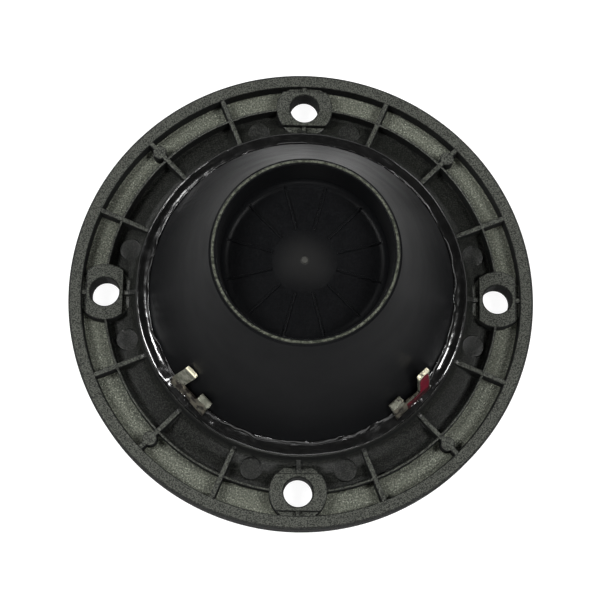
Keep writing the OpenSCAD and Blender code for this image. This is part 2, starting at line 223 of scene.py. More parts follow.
def loft(name, loops, closed=False):
    """A solid through loops of equal length: a closed ring, or with a face at each end."""
    size = len(loops[0])
    count = len(loops)
    verts = [p for loop in loops for p in loop]
    faces = [] if closed else [list(range(size)), list(range(len(verts) - size, len(verts)))]
    for i in range(count if closed else count - 1):
        j = (i + 1) % count
        for k in range(size):
            m = (k + 1) % size
            faces.append([i * size + k, i * size + m, j * size + m, j * size + k])
    return make_object(name, verts, faces)


def bar(name, low, top, stations):
    """A bar through the x stations. Its low and top sides are (half width, height, corner radius)."""
    section = rounded([(-low[0], *low[1:]), low, top, (-top[0], *top[1:])])
    return loft(name, [[(x, y, z) for y, z in section] for x in stations])


def turned(obj, turn):
    """The object with its mesh turned about the Z axis, by degrees."""
    obj.data.transform(Matrix.Rotation(radians(turn), 4, "Z"))
    return obj


def joined(name, objects):
    """One object that holds the meshes of several."""
    bm = bmesh.new()
    for obj in objects:
        bm.from_mesh(obj.data)
        bpy.data.objects.remove(obj)
    return mesh_object(name, bm)


def around(name, make, turns):
    """One object that holds what make() returns, once at each turn about the Z axis."""
    return joined(name, [turned(make(), turn) for turn in turns])


def apply_modifiers(obj):
    """Bakes the object's modifiers into its mesh."""
    graph = bpy.context.evaluated_depsgraph_get()
    mesh = bpy.data.meshes.new_from_object(obj.evaluated_get(graph))
    obj.modifiers.clear()
    obj.data = mesh


def combine(obj, tool, operation):
    """A Boolean of obj with tool, which is used up."""
    boolean = obj.modifiers.new("boolean", "BOOLEAN")
    boolean.operation = operation
    boolean.solver = "MANIFOLD"
    boolean.object = tool
    apply_modifiers(obj)
    bpy.data.objects.remove(tool)
    return obj


def smooth(obj, angle):
    """Smooth shading, kept sharp at edges that turn more than the angle."""
    mesh = obj.data
    mesh.polygons.foreach_set("use_smooth", [True] * len(mesh.polygons))
    mesh.set_sharp_from_angle(angle=radians(angle))
    weighted = obj.modifiers.new("weighted_normals", "WEIGHTED_NORMAL")
    weighted.keep_sharp = True
    return obj


def finish_piece(obj, node, material, body="housing", angle=32):
    """Shading, material and body of a piece that stands for one CAD node.
    """
    smooth(obj, angle)
    obj.data.materials.clear()
    obj.data.materials.append(material)
    if body:
        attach(obj, body)
    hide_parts(node)
    return obj


# ---------- material helpers


class Nodes:
    """Short calls for building one material's node tree."""

    def __init__(self, name):
        self.material = bpy.data.materials.new(name)
        self.material.use_nodes = True
        self.tree = self.material.node_tree
        self.shader = self.tree.nodes["Principled BSDF"]
        self.place = self.add("ShaderNodeTexCoord").outputs["Object"]

    def add(self, kind, **settings):
        """A new node with these settings."""
        node = self.tree.nodes.new(kind)
        for key, value in settings.items():
            setattr(node, key, value)
        return node

    def feed(self, value, socket):
        """Gives a socket its value: another socket, a number or a colour."""
        if isinstance(value, tuple):
            socket.default_value = (*value, 1)
        elif isinstance(value, (int, float)):
            socket.default_value = value
        else:
            self.tree.links.new(value, socket)

    def texture(self, kind, size_mm, stretch=(1, 1, 1)):
        """Texture node with features of about size_mm, optionally stretched along an axis."""
        mapping = self.add("ShaderNodeMapping")
        mapping.inputs["Scale"].default_value = [1 / (size_mm * MM * s) for s in stretch]
        self.feed(self.place, mapping.inputs["Vector"])
        texture = self.add(kind)
        texture.inputs["Scale"].default_value = 1.0
        self.feed(mapping.outputs["Vector"], texture.inputs["Vector"])
        return texture

    def noise(self, size_mm, detail=3.0, rough=0.55, stretch=(1, 1, 1)):
        """Cloudy noise."""
        texture = self.texture("ShaderNodeTexNoise", size_mm, stretch)
        texture.inputs["Detail"].default_value = detail
        texture.inputs["Roughness"].default_value = rough
        return texture.outputs["Fac"]

    def spread(self, value, low, high, to_low=0.0, to_high=1.0):
        """The value moved from one range to another, and held at its ends."""
        node = self.add("ShaderNodeMapRange", clamp=True, interpolation_type="SMOOTHSTEP")
        self.feed(value, node.inputs["Value"])
        for key, number in (("From Min", low), ("From Max", high), ("To Min", to_low), ("To Max", to_high)):
            node.inputs[key].default_value = number
        return node.outputs["Result"]

    def maths(self, operation, a, b):
        """The result of a sum on two numbers or sockets."""
        node = self.add("ShaderNodeMath", operation=operation)
        self.feed(a, node.inputs[0])
        self.feed(b, node.inputs[1])
        return node.outputs["Value"]

    def colours(self, factor, first, second):
        """A mix of two colours; either may be a socket."""
        node = self.add("ShaderNodeMix", data_type="RGBA")
        self.feed(factor, node.inputs["Factor"])
        self.feed(first, node.inputs[6])
        self.feed(second, node.inputs[7])
        return node.outputs[2]

    def tint(self, value, low, high, first, second):
        """One colour where the value is low, the other where it is high."""
        return self.colours(self.spread(value, low, high), first, second)

    def parts(self, vector):
        """The X, Y and Z of a vector."""
        node = self.add("ShaderNodeSeparateXYZ")
        self.feed(vector, node.inputs["Vector"])
        return node.outputs

    def radius(self):
        """Distance of the shaded point from the tweeter's axis, in millimetres."""
        parts = self.parts(self.place)
        flat = self.add("ShaderNodeCombineXYZ")
        self.feed(parts["X"], flat.inputs["X"])
        self.feed(parts["Y"], flat.inputs["Y"])
        length = self.add("ShaderNodeVectorMath", operation="LENGTH")
        self.feed(flat.outputs["Vector"], length.inputs[0])
        return self.maths("MULTIPLY", length.outputs["Value"], 1 / MM)

    def height(self):
        """Height of the shaded point, in millimetres."""
        return self.maths("MULTIPLY", self.parts(self.place)["Z"], 1 / MM)

    def level(self):
        """How level the surface is: 1 on faces that look straight up or down, 0 on walls."""
        normal = self.add("ShaderNodeNewGeometry").outputs["Normal"]
        return self.maths("ABSOLUTE", self.parts(normal)["Z"], 0.0)

    def bump(self, height, depth_mm, strength=1.0):
        """Bump of this depth, on top of any bump that the shader has already."""
        node = self.add("ShaderNodeBump")
        node.inputs["Distance"].default_value = depth_mm * MM
        node.inputs["Strength"].default_value = strength
        self.feed(height, node.inputs["Height"])
        if self.shader.inputs["Normal"].links:
            self.feed(self.shader.inputs["Normal"].links[0].from_socket, node.inputs["Normal"])
        self.feed(node.outputs["Normal"], self.shader.inputs["Normal"])

    def finish(self, colour, roughness, **fixed):
        """The material with its sockets set: colour and roughness may be sockets, the rest are numbers."""
        self.feed(colour, self.shader.inputs["Base Color"])
        self.feed(roughness, self.shader.inputs["Roughness"])
        for key, value in fixed.items():
            self.shader.inputs[key.replace("_", " ")].default_value = value
        return self.material


# ---------- materials


def flange_plastic():
    """Black moulding: eroded grain on the outer floor with bright flecks as painted glints, finer grain on
    the tops, and rougher walls painted near-black as shade.
    """
    n = Nodes("flange_plastic")
    outer = n.spread(n.radius(), RING_R - 0.3, RING_R + 0.3)
    height = n.height()
    level = n.level()
    flat = n.spread(level, 0.95, 0.985)
    top = n.maths("MULTIPLY", n.spread(height, RIM_Z - 1.8, RIM_Z - 1.5), flat)
    low = n.spread(height, FLOOR_Z + 0.7, FLOOR_Z + 0.3)
    rear = n.spread(height, FLOOR_Z - 0.6, FLOOR_Z - 0.3)
    eroded = n.maths("MULTIPLY", n.maths("MULTIPLY", outer, low), rear)
    grain = n.noise(0.36, detail=2.5, rough=0.65)
    fine = n.noise(0.26, detail=2.0, rough=0.6)
    cloud = n.noise(6.0, detail=2.0)
    mottle = n.tint(grain, 0.36, 0.62, (0.034, 0.037, 0.029), (0.100, 0.106, 0.084))
    # Bright flecks on the eroded floor are painted glints of its grain.
    painted_glints = n.maths("MULTIPLY", n.spread(grain, 0.5, 0.62), n.spread(fine, 0.5, 0.64))
    floor = n.colours(painted_glints, mottle, (0.27, 0.285, 0.235))
    floor = n.colours(n.spread(cloud, 0.35, 0.7, 0.0, 0.35), floor, (0.060, 0.063, 0.048))
    tops = n.tint(fine, 0.36, 0.64, (0.004, 0.0045, 0.0035), (0.052, 0.055, 0.046))
    dark = n.tint(fine, 0.4, 0.7, (0.0025, 0.0028, 0.0025), (0.022, 0.023, 0.020))
    colour = n.colours(eroded, n.colours(top, dark, tops), floor)
    # Walls, where the surface is far from level, are painted near-black: painted shade.
    colour = n.tint(level, 0.3, 0.7, (0.004, 0.0044, 0.004), colour)
    rough = n.maths("ADD", n.spread(outer, 0, 1, 0.38, 0.56), n.spread(grain, 0.3, 0.7, -0.05, 0.08))
    rough = n.maths("ADD", rough, n.spread(level, 0.7, 0.3, 0.0, 0.45))
    n.bump(n.maths("MULTIPLY", grain, n.spread(outer, 0, 1, 0.25, 1.0)), 0.2, 0.9)
    return n.finish(colour, rough, Specular_IOR_Level=0.15)


def cup_plastic():
    """Satin black plastic with very fine grain, a rougher end ring whose flat top carries a painted
    highlight, a painted highlight over the middle of the recess and a painted glint on its nub.
    """
    n = Nodes("cup_plastic")
    fine = n.noise(0.22, detail=2.0)
    blotches = n.noise(0.45, detail=3.0, rough=0.6)
    rub = n.noise(9.0, detail=3.0, stretch=(1, 1, 0.5))
    radius = n.radius()
    outer = n.spread(radius, END_RING_R, END_RING_R - 0.2)
    # Band on the end ring's flat top, where the painted highlight goes.
    ring_band = n.maths("MULTIPLY", n.spread(radius, END_RING_R - 0.65, END_RING_R - 0.45), outer)
    end = n.maths("MULTIPLY", n.spread(n.height(), TOP_Z - 0.2, TOP_Z - 0.03), ring_band)
    black = n.tint(fine, 0.35, 0.75, (0.0022, 0.0023, 0.0026), (0.0048, 0.0050, 0.0054))
    # The middle of the recess floor, over the low dome, is painted paler: a painted highlight.
    black = n.tint(radius, DOME_R + 1.5, 0.5, black, (0.010, 0.010, 0.010))
    # The nub is painted lighter still: a painted glint.
    black = n.tint(radius, NUB_R + 0.3, NUB_R, black, (0.035, 0.035, 0.032))
    # Grey of the painted highlight on the end ring's top, broken up by blotchy noise.
    ring_highlight = n.tint(blotches, 0.38, 0.62, (0.018, 0.020, 0.015), (0.070, 0.074, 0.058))
    satin = n.maths("ADD", n.spread(rub, 0.35, 0.7, 0.34, 0.42), n.spread(fine, 0.3, 0.7, -0.02, 0.03))
    rough = n.maths("ADD", satin, n.maths("MULTIPLY", end, 0.2))
    n.bump(fine, 0.012, 0.5)
    n.bump(n.maths("MULTIPLY", blotches, end), 0.08, 0.7)
    colour = n.colours(end, black, ring_highlight)
    return n.finish(colour, rough, Specular_IOR_Level=0.03, Sheen_Weight=0.12, Sheen_Roughness=0.2)


def plug_plastic():
    """Smooth black moulding of the phase plug."""
    n = Nodes("plug_plastic")
    fine = n.noise(0.4, detail=2.0)
    flow = n.noise(4.0, detail=2.0, stretch=(1, 1, 3))
    colour = n.tint(flow, 0.3, 0.7, (0.010, 0.010, 0.010), (0.019, 0.019, 0.018))
    n.bump(fine, 0.015, 0.4)
    return n.finish(colour, n.spread(fine, 0.3, 0.7, 0.3, 0.42))


def adhesive():
    """Set black adhesive: wet-looking, with slow ripples and a few specks."""
    n = Nodes("adhesive")
    ripple = n.noise(1.7, detail=1.5, rough=0.4)
    speck = n.noise(0.3, detail=1.0)
    colour = n.tint(speck, 0.6, 0.75, (0.003, 0.003, 0.003), (0.012, 0.012, 0.011))
    n.bump(ripple, 0.15, 0.5)
    return n.finish(colour, n.spread(ripple, 0.3, 0.7, 0.1, 0.2), Coat_Weight=0.2, Coat_Roughness=0.08)


def tinned_brass():
    """Tinned terminal strip: dull in patches, smeared with adhesive low down, with a painted highlight in
    bright tin on the tab's cut end.
    """
    n = Nodes("tinned_brass")
    height = n.height()
    patch = n.noise(1.3, detail=3.0)
    streak = n.noise(0.25, detail=2.0, stretch=(1, 1, 6))
    smear = n.noise(1.5, detail=4.0, rough=0.65)
    glued = n.spread(height, BEND_Z + 3.6, BEND_Z + 2.2, 0.0, 0.22)
    smear = n.spread(n.maths("ADD", smear, glued), 0.56, 0.66)
    dull = n.tint(patch, 0.35, 0.65, (0.19, 0.19, 0.155), (0.075, 0.078, 0.06))
    # The tab's cut end is painted bright tin: a painted highlight.
    tab_end_highlight = n.spread(height, BEND_Z + 7.5, BEND_Z + 7.8)
    tin = n.colours(tab_end_highlight, dull, (0.95, 0.90, 0.68))
    grime = n.tint(patch, 0.42, 0.6, (0.016, 0.013, 0.011), (0.10, 0.092, 0.07))
    colour = n.colours(smear, tin, grime)
    rough = n.maths("ADD", n.spread(patch, 0.3, 0.7, 0.3, 0.5), n.spread(streak, 0.3, 0.7, 0.0, 0.12))
    n.bump(streak, 0.012, 0.5)
    n.bump(patch, 0.05, 0.5)
    return n.finish(colour, rough, Metallic=0.75)


def red_paint():
    """Brushed dab of dark red paint, darker low down: painted shade there, and adhesive over the paint."""
    n = Nodes("red_paint")
    streak = n.noise(0.5, detail=3.0)
    colour = n.tint(streak, 0.35, 0.65, (0.035, 0.0015, 0.005), (0.11, 0.005, 0.014))
    ragged = n.maths("ADD", n.height(), n.maths("MULTIPLY", streak, 3.0))
    # Low down the red gives way to near-black: painted shade, and adhesive smeared over the paint.
    colour = n.tint(ragged, BEND_Z + 3.0, BEND_Z + 4.5, (0.016, 0.003, 0.004), colour)
    n.bump(streak, 0.05, 0.6)
    return n.finish(colour, n.spread(streak, 0.3, 0.7, 0.35, 0.55), Specular_IOR_Level=0.1)


def solder():
    """Bright solder with a frosty skin."""
    n = Nodes("solder")
    frost = n.noise(0.2, detail=2.0)
    colour = n.tint(frost, 0.35, 0.7, (0.72, 0.72, 0.74), (0.5, 0.5, 0.52))
    n.bump(frost, 0.02, 0.5)
    return n.finish(colour, n.spread(frost, 0.3, 0.7, 0.16, 0.36), Metallic=1.0)


def felt(name, light, dark, size_mm=0.25):
    """Matted fibres."""
    n = Nodes(name)
    fibre = n.noise(size_mm, detail=5.0, rough=0.7, stretch=(3, 1, 1))
    cross = n.noise(size_mm, detail=5.0, rough=0.7, stretch=(1, 3, 1))
    mat = n.maths("ADD", fibre, cross)
    colour = n.tint(mat, 0.8, 1.2, dark, light)
    n.bump(mat, 0.12, 0.8)
    return n.finish(colour, 0.95, Sheen_Weight=0.3, Specular_IOR_Level=0.15)


def foam():
    """Open-cell foam with dark pores."""
    n = Nodes("foam")
    pores = n.texture("ShaderNodeTexVoronoi", 0.55).outputs["Distance"]
    colour = n.tint(pores, 0.2, 0.5, (0.012, 0.012, 0.014), (0.07, 0.07, 0.078))
    n.bump(pores, 0.25, 0.9)
    return n.finish(colour, 0.93, Specular_IOR_Level=0.2)


def paper(name, light, dark, size_mm=0.5):
    """Pulped paper or board with short fibres."""
    n = Nodes(name)
    pulp = n.noise(size_mm, detail=5.0, rough=0.65)
    fibre = n.noise(0.18, detail=3.0, rough=0.7, stretch=(4, 1, 1))
    mat = n.maths("ADD", n.maths("MULTIPLY", pulp, 0.6), n.maths("MULTIPLY", fibre, 0.4))
    colour = n.tint(mat, 0.38, 0.62, dark, light)
    n.bump(mat, 0.06, 0.7)
    return n.finish(colour, 0.85, Specular_IOR_Level=0.25)


def coated_cloth():
    """Fine woven cloth of the cone's edge, stiffened with a dark coating."""
    n = Nodes("edge_cloth")
    warp = n.noise(0.14, detail=1.0, stretch=(6, 1, 1))
    weft = n.noise(0.14, detail=1.0, stretch=(1, 6, 1))
    weave = n.maths("MAXIMUM", warp, weft)
    colour = n.tint(weave, 0.45, 0.65, (0.02, 0.018, 0.017), (0.07, 0.064, 0.058))
    n.bump(weave, 0.03, 0.7)
    return n.finish(colour, n.spread(weave, 0.4, 0.7, 0.62, 0.45))


def epoxy():
    """Amber epoxy, slightly cloudy."""
    n = Nodes("epoxy")
    cloud = n.noise(0.8, detail=2.0)
    colour = n.tint(cloud, 0.3, 0.7, (0.42, 0.33, 0.14), (0.56, 0.48, 0.27))
    n.bump(cloud, 0.03, 0.4)
    return n.finish(colour, n.spread(cloud, 0.3, 0.7, 0.12, 0.28), Coat_Weight=0.3)


def silvered_ceramic(edge_r):
    """Fired silver electrode with a bare ceramic margin outside edge_r."""
    n = Nodes("piezo_ceramic")
    print_grain = n.noise(0.3, detail=3.0)
    margin = n.spread(n.radius(), edge_r - 0.05, edge_r + 0.05)
    silver = n.tint(print_grain, 0.35, 0.7, (0.66, 0.64, 0.6), (0.48, 0.46, 0.42))
    colour = n.colours(margin, silver, (0.34, 0.29, 0.2))
    n.bump(print_grain, 0.01, 0.5)
    return n.finish(colour, n.spread(print_grain, 0.3, 0.7, 0.38, 0.55), Metallic=0.35)


def rolled_brass():
    """Rolled brass shim with fine rolling lines and slight tarnish."""
    n = Nodes("shim_brass")
    lines = n.noise(0.1, detail=2.0, stretch=(30, 1, 1))
    tarnish = n.noise(3.0, detail=3.0)
    colour = n.tint(tarnish, 0.4, 0.7, (0.78, 0.58, 0.25), (0.52, 0.36, 0.15))
    n.bump(lines, 0.004, 0.5)
    return n.finish(colour, n.spread(tarnish, 0.3, 0.7, 0.22, 0.38), Metallic=1.0)


def insulation(name, light, dark):
    """Soft lead insulation."""
    n = Nodes(name)
    blotches = n.noise(0.6, detail=3.0)
    colour = n.tint(blotches, 0.35, 0.7, light, dark)
    n.bump(blotches, 0.01, 0.4)
    return n.finish(colour, n.spread(blotches, 0.3, 0.7, 0.35, 0.5))


# ---------- camera, floor and light


def make_camera():
    """Camera above the back of the tweeter, a little towards the lower side, looking at the rim plane."""
    azimuth, elevation, roll = (radians(a) for a in (-4.21, 77.43, 5.27))
    distance, aside, lower = 340.9, 0.281, 0.941
    flat = cos(elevation)
    back = Vector((sin(azimuth) * flat, -cos(azimuth) * flat, sin(elevation)))
    level = Vector((cos(azimuth), sin(azimuth), 0))
    right = level * cos(roll) + back.cross(level) * sin(roll)
    up = back.cross(right)
    data = bpy.data.cameras.new("camera")
    data.lens = 99.2
    data.sensor_width = 36
    obj = add_object("camera", data)
    place = Matrix((right, up, back)).transposed().to_4x4()
    place.translation = (Vector((0, 0, RIM_Z)) + back * distance - right * aside - up * lower) * MM
    obj.matrix_world = place
    bpy.context.scene.camera = obj


def make_floor():
    """Plain pale floor under the flange's front lip. It glows a little, so that it comes out white."""
    half = 1500
    corners = [(-half, -half, 0), (half, -half, 0), (half, half, 0), (-half, half, 0)]
    obj = make_object("floor", corners, [(0, 1, 2, 3)])
    n = Nodes("floor_paper")
    tone = n.noise(60, detail=2.0)
    n.shader.inputs["Emission Color"].default_value = (1, 1, 1, 1)
    n.shader.inputs["Emission Strength"].default_value = 0.95
    paper_colour = n.colours(tone, (0.20, 0.20, 0.198), (0.22, 0.22, 0.218))
    obj.data.materials.append(n.finish(paper_colour, 0.9))


def make_world():
    """Soft studio surround: bright near the horizon, dim overhead."""
    world = bpy.data.worlds.new("studio")
    world.use_nodes = True
    bpy.context.scene.world = world
    nodes = world.node_tree.nodes
    link = world.node_tree.links.new
    place = nodes.new("ShaderNodeTexCoord")
    parts = nodes.new("ShaderNodeSeparateXYZ")
    ramp = nodes.new("ShaderNodeValToRGB")
    link(place.outputs["Generated"], parts.inputs["Vector"])
    link(parts.outputs["Z"], ramp.inputs["Fac"])
    link(ramp.outputs["Color"], nodes["Background"].inputs["Color"])
    ramp.color_ramp.interpolation = "EASE"
    stops = ramp.color_ramp.elements
    stops.new(0.5)
    for stop, (height, level) in zip(stops, ((0.0, 0.9), (0.35, 0.5), (0.75, 0.08))):
        stop.position = height
        stop.color = (level, level, level, 1)
    nodes["Background"].inputs["Strength"].default_value = 0.4


def make_light(name, azimuth, elevation, size, power, distance=700):
    """Soft area light that faces the tweeter. Azimuth 0 is the lower side, 90 the right side."""
    a = radians(azimuth)
    e = radians(elevation)
    away = Vector((sin(a) * cos(e), -cos(a) * cos(e), sin(e)))
    data = bpy.data.lights.new(name, "AREA")
    data.shape = "RECTANGLE"
    data.size, data.size_y = size[0] * MM, size[1] * MM
    data.energy = power
    obj = add_object(name, data)
    obj.location = away * distance * MM
    obj.rotation_euler = away.to_track_quat("Z", "Y").to_euler()


# ---------- horn frame

RIB_W = 1.1
RIB_TOP = RIM_Z - 0.08
RIB_SLOTS = 16
FOOT = 0.02  # depth by which a feature's foot sinks below the surface that it stands on
FILLET = 0.35
BOSS_R = 5.9
BOSS_HALF = 3.8  # half the radial width of a boss's flat-sided top
POST_R = 1.45
POST_AT = 42.7
PAD_R = 2.2
PAD_AT = 37.0
PAD_TOP = flare_z(PAD_AT) + FLARE_WALL
SEAT_R = 4.7  # flat seat for a screw head on the front
PLUG_MOUTH_R = MOUTH_R * exp((MOUTH_Z - PLUG_SEAT_Z) / FLARE_K)


def hill_z(x):
    """Height of the back of the flare wall at distance x from the axis."""
    r = x
    for _ in range(30):
        r = x - (flare_back(r)[0] - r)
    return flare_back(r)[1]


def ground_z(x):
    """Height of the flange's ribbed back at distance x: the flat floor, blending into the flare's back."""
    hill = hill_z(x)
    return (hill + FLOOR_Z + hypot(hill - FLOOR_Z, 0.15)) / 2


def foot_section(half, ground, top, edge, reach=0.8):
    """Section of a rib: a filleted foot just under the ground, drafted sides and rounded top edges."""
    low = ground - FOOT
    draft = 0.04
    side = [(half + reach, low - 0.6), (half + reach, low), (half, low, FILLET), (half - draft, top, edge)]
    return rounded([(-x, *rest) for x, *rest in side] + side[::-1])


def radial_rib(top):
    """Straight rib along +X, from the collar to the rim, whose foot follows the ground."""
    loops = []
    for x in np.linspace(COLLAR_R - 0.4, RIM_R + 0.5, 30):
        section = foot_section(RIB_W / 2, ground_z(x), max(top, ground_z(x) + 0.9), 0.16)
        loops.append([(x, y, z) for y, z in section])
    return loft("rib", loops)


def boss_top():
    """Flat-sided upper part of a screw boss, with a rounded top edge."""
    edge = 0.22
    loops = []
    levels = [(0, FLOOR_Z - 1), (0, RIM_Z - edge)]
    for a in np.linspace(0.3, pi / 2, 4):
        levels.append((edge * (1 - cos(a)), RIM_Z - edge + edge * sin(a)))
    for inset, z in levels:
        r = BOSS_R - inset
        start = acos((BOSS_HALF - inset) / r)
        loop = []
        for side in (0, pi):
            for a in np.linspace(start, pi - start, 24):
                loop.append((RING_R + r * cos(a + side), r * sin(a + side), z))
        loops.append(loop)
    return loft("boss_top", loops)


def body_of_revolution():
    """Back of the horn frame without its ribs, solid to the front plane."""
    outer = [(0, 0), (FLANGE_R, 0, 0.6), (FLANGE_R, RIM_Z, 0.6), (RIM_R, RIM_Z, 0.22)]
    outer += [(RIM_R - 0.08, FLOOR_Z, FILLET)]
    slope = [(x, ground_z(x)) for x in np.arange(41.2, 37.7, -0.3)]
    collar = [
        (COLLAR_R, hill_z(COLLAR_R), 3.0), (COLLAR_R, COLLAR_Z, 0.4),
        (COLLAR_IN, COLLAR_Z, 0.25), (COLLAR_IN, LEDGE_Z, 0.2), (29.3, LEDGE_Z),
    ]
    inner = [(x, hill_z(x)) for x in np.linspace(29.0, DRIVER_SEAT_R + 0.1, 14)]
    seat = [(DRIVER_SEAT_R, hill_z(DRIVER_SEAT_R), 0.3), (DRIVER_SEAT_R, SEAT_Z, 0.3), (0, SEAT_Z)]
    return spun("flange_and_horn", outer + slope + collar + inner + seat, 288)


def screw_seat():
    """Column under the flat seat of a screw head."""
    return spun("seat", [(0, MOUTH_Z), (SEAT_R, MOUTH_Z, 0.2), (SEAT_R, RIM_Z), (0, RIM_Z)], 64, (RING_R, 0))


def front_air():
    """Space in front of the horn surface, apart from the four screw seats."""
    lip_in = FLANGE_R - 2.4
    horn = [(r, flare_z(r)) for r in np.geomspace(MOUTH_R - 1.2, PLUG_MOUTH_R, 36)]
    air = spun("air", [
        (0, -1), (lip_in + 0.6, -1), (lip_in + 0.3, -0.02, 0.1), (lip_in, 0.35, 0.3), (RIM_R, MOUTH_Z, 0.5),
        (MOUTH_R, MOUTH_Z, 2.2), *horn,
        (PLUG_SEAT_R, PLUG_SEAT_Z), (PLUG_SEAT_R, SEAT_Z + 1), (0, SEAT_Z + 1),
    ], 288)
    return combine(air, around("seats", screw_seat, BOSS_TURNS), "DIFFERENCE")


def screw_hole():
    """Tool for a screw hole with softened ends."""
    soft = 0.28
    wide = HOLE_R + soft
    return spun("hole", [
        (0, MOUTH_Z - 1), (wide, MOUTH_Z - 1), (wide, MOUTH_Z - 0.01, 0.05), (HOLE_R, MOUTH_Z + soft, 0.2),
        (HOLE_R, RIM_Z - soft, 0.2), (wide, RIM_Z + 0.01, 0.05), (wide, RIM_Z + 1), (0, RIM_Z + 1),
    ], 64, (RING_R, 0))


def on_floor(radius, top, at, edge=0.2, segments=56):
    """Round feature that stands on the floor at distance at from the axis, with a filleted foot."""
    low = FLOOR_Z - FOOT
    reach = radius + 0.8
    foot = [(0, FLOOR_Z - 1), (reach, FLOOR_Z - 1), (reach, low), (radius, low, FILLET)]
    return spun("round", foot + [(radius, top, edge), (0, top)], segments, (at, 0))


def boss_shoulder():
    """Round lower part of a screw boss."""
    return on_floor(BOSS_R, RIM_Z - 1.4, RING_R, 0.3, 96)


def post():
    """Small round post on the outer floor."""
    return on_floor(POST_R, RIB_TOP - 0.02, POST_AT)


def ejector_pad():
    """Round pad of an ejector pin on the inner floor."""
    low = FLOOR_Z - 0.5
    return spun("pad", [(0, low), (PAD_R, low), (PAD_R, PAD_TOP, 0.12), (0, PAD_TOP)], at=(PAD_AT, 0))


def pad_well():
    """Tool that clears the slope round an ejector pad."""
    top = RIM_Z + 1
    outline = [(0, PAD_TOP), (PAD_R + 0.12, PAD_TOP, 0.1), (PAD_R + 0.2, top), (0, top)]
    return spun("well", outline, at=(PAD_AT, 0))


def horn_frame():
    """Flange with its ribs, screw bosses, posts and ejector pads, the horn flare and the collar."""
    step = 360 / RIB_SLOTS
    rib_turns = [i * step for i in range(RIB_SLOTS) if i * step not in BOSS_TURNS]
    pad_turns = [a + side * 15 for a in BOSS_TURNS for side in (-1, 1)]
    post_turns = [a + 45 for a in BOSS_TURNS]
    ribs = [turned(radial_rib(RIB_TOP), a) for a in rib_turns]
    stubs = [turned(radial_rib(RIM_Z - 0.6), a) for a in BOSS_TURNS]
    ring_section = [(RING_R + y, z) for y, z in foot_section(0.3, FLOOR_Z, RIB_TOP - 0.03, 0.13)]
    horn = body_of_revolution()
    for tool, operation in (
        (joined("ribs", ribs + stubs), "UNION"),
        (lathe("ring", ring_section, 288), "UNION"),
        (around("wells", pad_well, pad_turns), "DIFFERENCE"),
        (around("pads", ejector_pad, pad_turns), "UNION"),
        (around("shoulders", boss_shoulder, BOSS_TURNS), "UNION"),
        (around("boss_tops", boss_top, BOSS_TURNS), "UNION"),
        (around("posts", post, post_turns), "UNION"),
        (front_air(), "DIFFERENCE"),
        (around("holes", screw_hole, BOSS_TURNS), "DIFFERENCE"),
    ):
        combine(horn, tool, operation)
    return horn


# ---------- rear cup


def recess_rib():
    """Low rib on the floor of the recess."""
    stations = np.linspace(DOME_R + 0.9, RECESS_R - 0.5, 20)
    return bar("recess_rib", (0.3, RECESS_FLOOR - 0.4), (0.2, RECESS_FLOOR + 0.3, 0.12), stations)


def tail_notch():
    """Tool for the notch in the cup's foot that lets a terminal's tail in."""
    return bar("notch", (1.5, LEDGE_Z - 1), (1.5, TAIL_TOP + 0.1, 0.3), (TAIL_IN - 0.4, SKIRT_R + 1))


def rear_cup():
    """Truncated cone with a thin end ring, a round-bottomed recess and notches for the terminal tails."""
    ring_in = END_RING_R - 0.9
    under = RECESS_FLOOR - 1.7
    dome_z = RECESS_FLOOR + 0.6
    nub_z = dome_z + 0.4
    foot_in = cup_in(CUP_TAPER_Z)
    inside = [
        (0, under), (RECESS_R - 0.8, under, 0.5), (RECESS_R + 1.8, under + 1.6, 0.5),
        (RECESS_R + 1.9, TOP_Z - 5.2, 0.4), (cup_in(under), under, 0.8), (foot_in, CUP_TAPER_Z, 1.0),
        (foot_in, LEDGE_Z, 0.2),
    ]
    outer = [
        (SKIRT_R, LEDGE_Z, 0.15), (SKIRT_R, CUP_TAPER_Z, 0.1), (CUP_BASE_R, CUP_TAPER_Z + 0.15, 0.1),
        (CUP_END_R, TOP_Z - 0.7, 0.25), (END_RING_R, TOP_Z - 0.5, 0.15), (END_RING_R, TOP_Z, 0.22),
        (ring_in, TOP_Z, 0.25),
    ]
    bowl = [(RECESS_R, RECESS_FLOOR, 1.7), (DOME_R + 0.6, RECESS_FLOOR, 1.0)]
    dome = [(DOME_R * t, RECESS_FLOOR + (dome_z - RECESS_FLOOR) * (1 - t * t)) for t in (0.8, 0.6, 0.4, 0.25)]
    nub = [(NUB_R + 0.12, dome_z, 0.1), (NUB_R, nub_z, 0.25), (0, nub_z + 0.03)]
    cup = spun("cup_shell", inside + outer + bowl + dome + nub, 288)
    rib_turns = [30 * (i + 0.5) for i in range(12)]
    combine(cup, around("recess_ribs", recess_rib, rib_turns), "UNION")
    return combine(cup, around("notches", tail_notch, TERMINAL_TURNS.values()), "DIFFERENCE")


# ---------- adhesive bead


def wobble(angle, waves, seed):
    """Smooth noise round the circle, from about -1 to 1, with about that many waves in a turn."""
    reach = waves / (2 * pi) * 1.6
    return 1.6 * noise.noise(Vector((cos(angle) * reach, sin(angle) * reach, seed)))


def hump(angle, centre, half_width):
    """1 at the centre angle, falling smoothly to 0 at half_width, both in degrees."""
    away = (degrees(angle) - centre + 180) % 360 - 180
    share = max(0.0, 1 - (away / half_width) ** 2)
    return share * share


BLOB_TURNS = (TERMINAL_TURNS["positive"] + 10, TERMINAL_TURNS["negative"] - 12)


